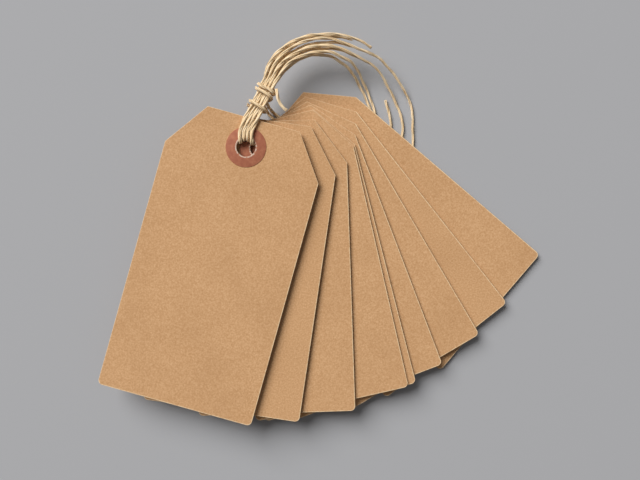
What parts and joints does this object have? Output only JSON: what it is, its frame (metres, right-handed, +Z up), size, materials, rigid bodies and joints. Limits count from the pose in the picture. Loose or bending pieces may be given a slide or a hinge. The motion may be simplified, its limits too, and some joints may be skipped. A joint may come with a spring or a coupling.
{
  "type": "shipping tag bunch",
  "caption": "Fanned bunch of kraft shipping tags with patched eyelets, strung and bound on twine, each tag swinging about the twine in its hole.",
  "frame": {"origin": "on the table, under the middle of the bunch's box, measured without the free twine ends", "axes": "+Z up from the table through the stack, +X across the fan towards the rear tag, +Y towards the binding"},
  "size_m": [0.1692, 0.1482, 0.0156],
  "materials": {
    "kraft_card": "uncoated matte",
    "fibre_patch": "matte",
    "jute_twine": "hairy, twisted"
  },
  "bodies": {
    "twine": {"twine_loop_left": "jute_twine", "twine_loop_right": "jute_twine", "twine_run_left": "jute_twine", "twine_run_right": "jute_twine", "twine_binding": "jute_twine", "free_end_1": "jute_twine", "free_end_2": "jute_twine", "free_end_3": "jute_twine", "free_end_4": "jute_twine", "free_end_5": "jute_twine", "free_end_6": "jute_twine", "free_end_7": "jute_twine", "free_end_8": "jute_twine"},
    "tag1": {"tag1_card": "kraft_card", "tag1_front_patch": "fibre_patch", "tag1_rear_patch": "fibre_patch"},
    "tag2": {"tag2_card": "kraft_card", "tag2_front_patch": "fibre_patch", "tag2_rear_patch": "fibre_patch"},
    "tag3": {"tag3_card": "kraft_card", "tag3_front_patch": "fibre_patch", "tag3_rear_patch": "fibre_patch"},
    "tag4": {"tag4_card": "kraft_card", "tag4_front_patch": "fibre_patch", "tag4_rear_patch": "fibre_patch"},
    "tag5": {"tag5_card": "kraft_card", "tag5_front_patch": "fibre_patch", "tag5_rear_patch": "fibre_patch"},
    "tag6": {"tag6_card": "kraft_card", "tag6_front_patch": "fibre_patch", "tag6_rear_patch": "fibre_patch"},
    "tag7": {"tag7_card": "kraft_card", "tag7_front_patch": "fibre_patch", "tag7_rear_patch": "fibre_patch"},
    "tag8": {"tag8_card": "kraft_card", "tag8_front_patch": "fibre_patch", "tag8_rear_patch": "fibre_patch"},
    "tag9": {"tag9_card": "kraft_card", "tag9_front_patch": "fibre_patch", "tag9_rear_patch": "fibre_patch"}
  },
  "joints": [
    {"name": "tag1_swing", "type": "hinge", "parent": "twine", "child": "tag1", "pos_m": [-0.02892, 0.04029, 0.005], "axis": [0, 0, 1], "range_deg": [-26, 24]},
    {"name": "tag2_swing", "type": "hinge", "parent": "twine", "child": "tag2", "pos_m": [-0.02392, 0.04018, 0.005], "axis": [0, 0, 1], "range_deg": [-18, 26]},
    {"name": "tag3_swing", "type": "hinge", "parent": "twine", "child": "tag3", "pos_m": [-0.02082, 0.03979, 0.005], "axis": [0, 0, 1], "range_deg": [-23, 32]},
    {"name": "tag4_swing", "type": "hinge", "parent": "twine", "child": "tag4", "pos_m": [-0.01872, 0.04059, 0.005], "axis": [0, 0, 1], "range_deg": [-40, 30]},
    {"name": "tag5_swing", "type": "hinge", "parent": "twine", "child": "tag5", "pos_m": [-0.01812, 0.04049, 0.005], "axis": [0, 0, 1], "range_deg": [-40, 30]},
    {"name": "tag6_swing", "type": "hinge", "parent": "twine", "child": "tag6", "pos_m": [-0.01752, 0.04088, 0.005], "axis": [0, 0, 1], "range_deg": [-42, 24]},
    {"name": "tag7_swing", "type": "hinge", "parent": "twine", "child": "tag7", "pos_m": [-0.01602, 0.04049, 0.005], "axis": [0, 0, 1], "range_deg": [-50, 20]},
    {"name": "tag8_swing", "type": "hinge", "parent": "twine", "child": "tag8", "pos_m": [-0.01402, 0.04149, 0.005], "axis": [0, 0, 1], "range_deg": [-50, 16]},
    {"name": "tag9_swing", "type": "hinge", "parent": "twine", "child": "tag9", "pos_m": [-0.01092, 0.04249, 0.005], "axis": [0, 0, 1], "range_deg": [-52, 9]}
  ]
}
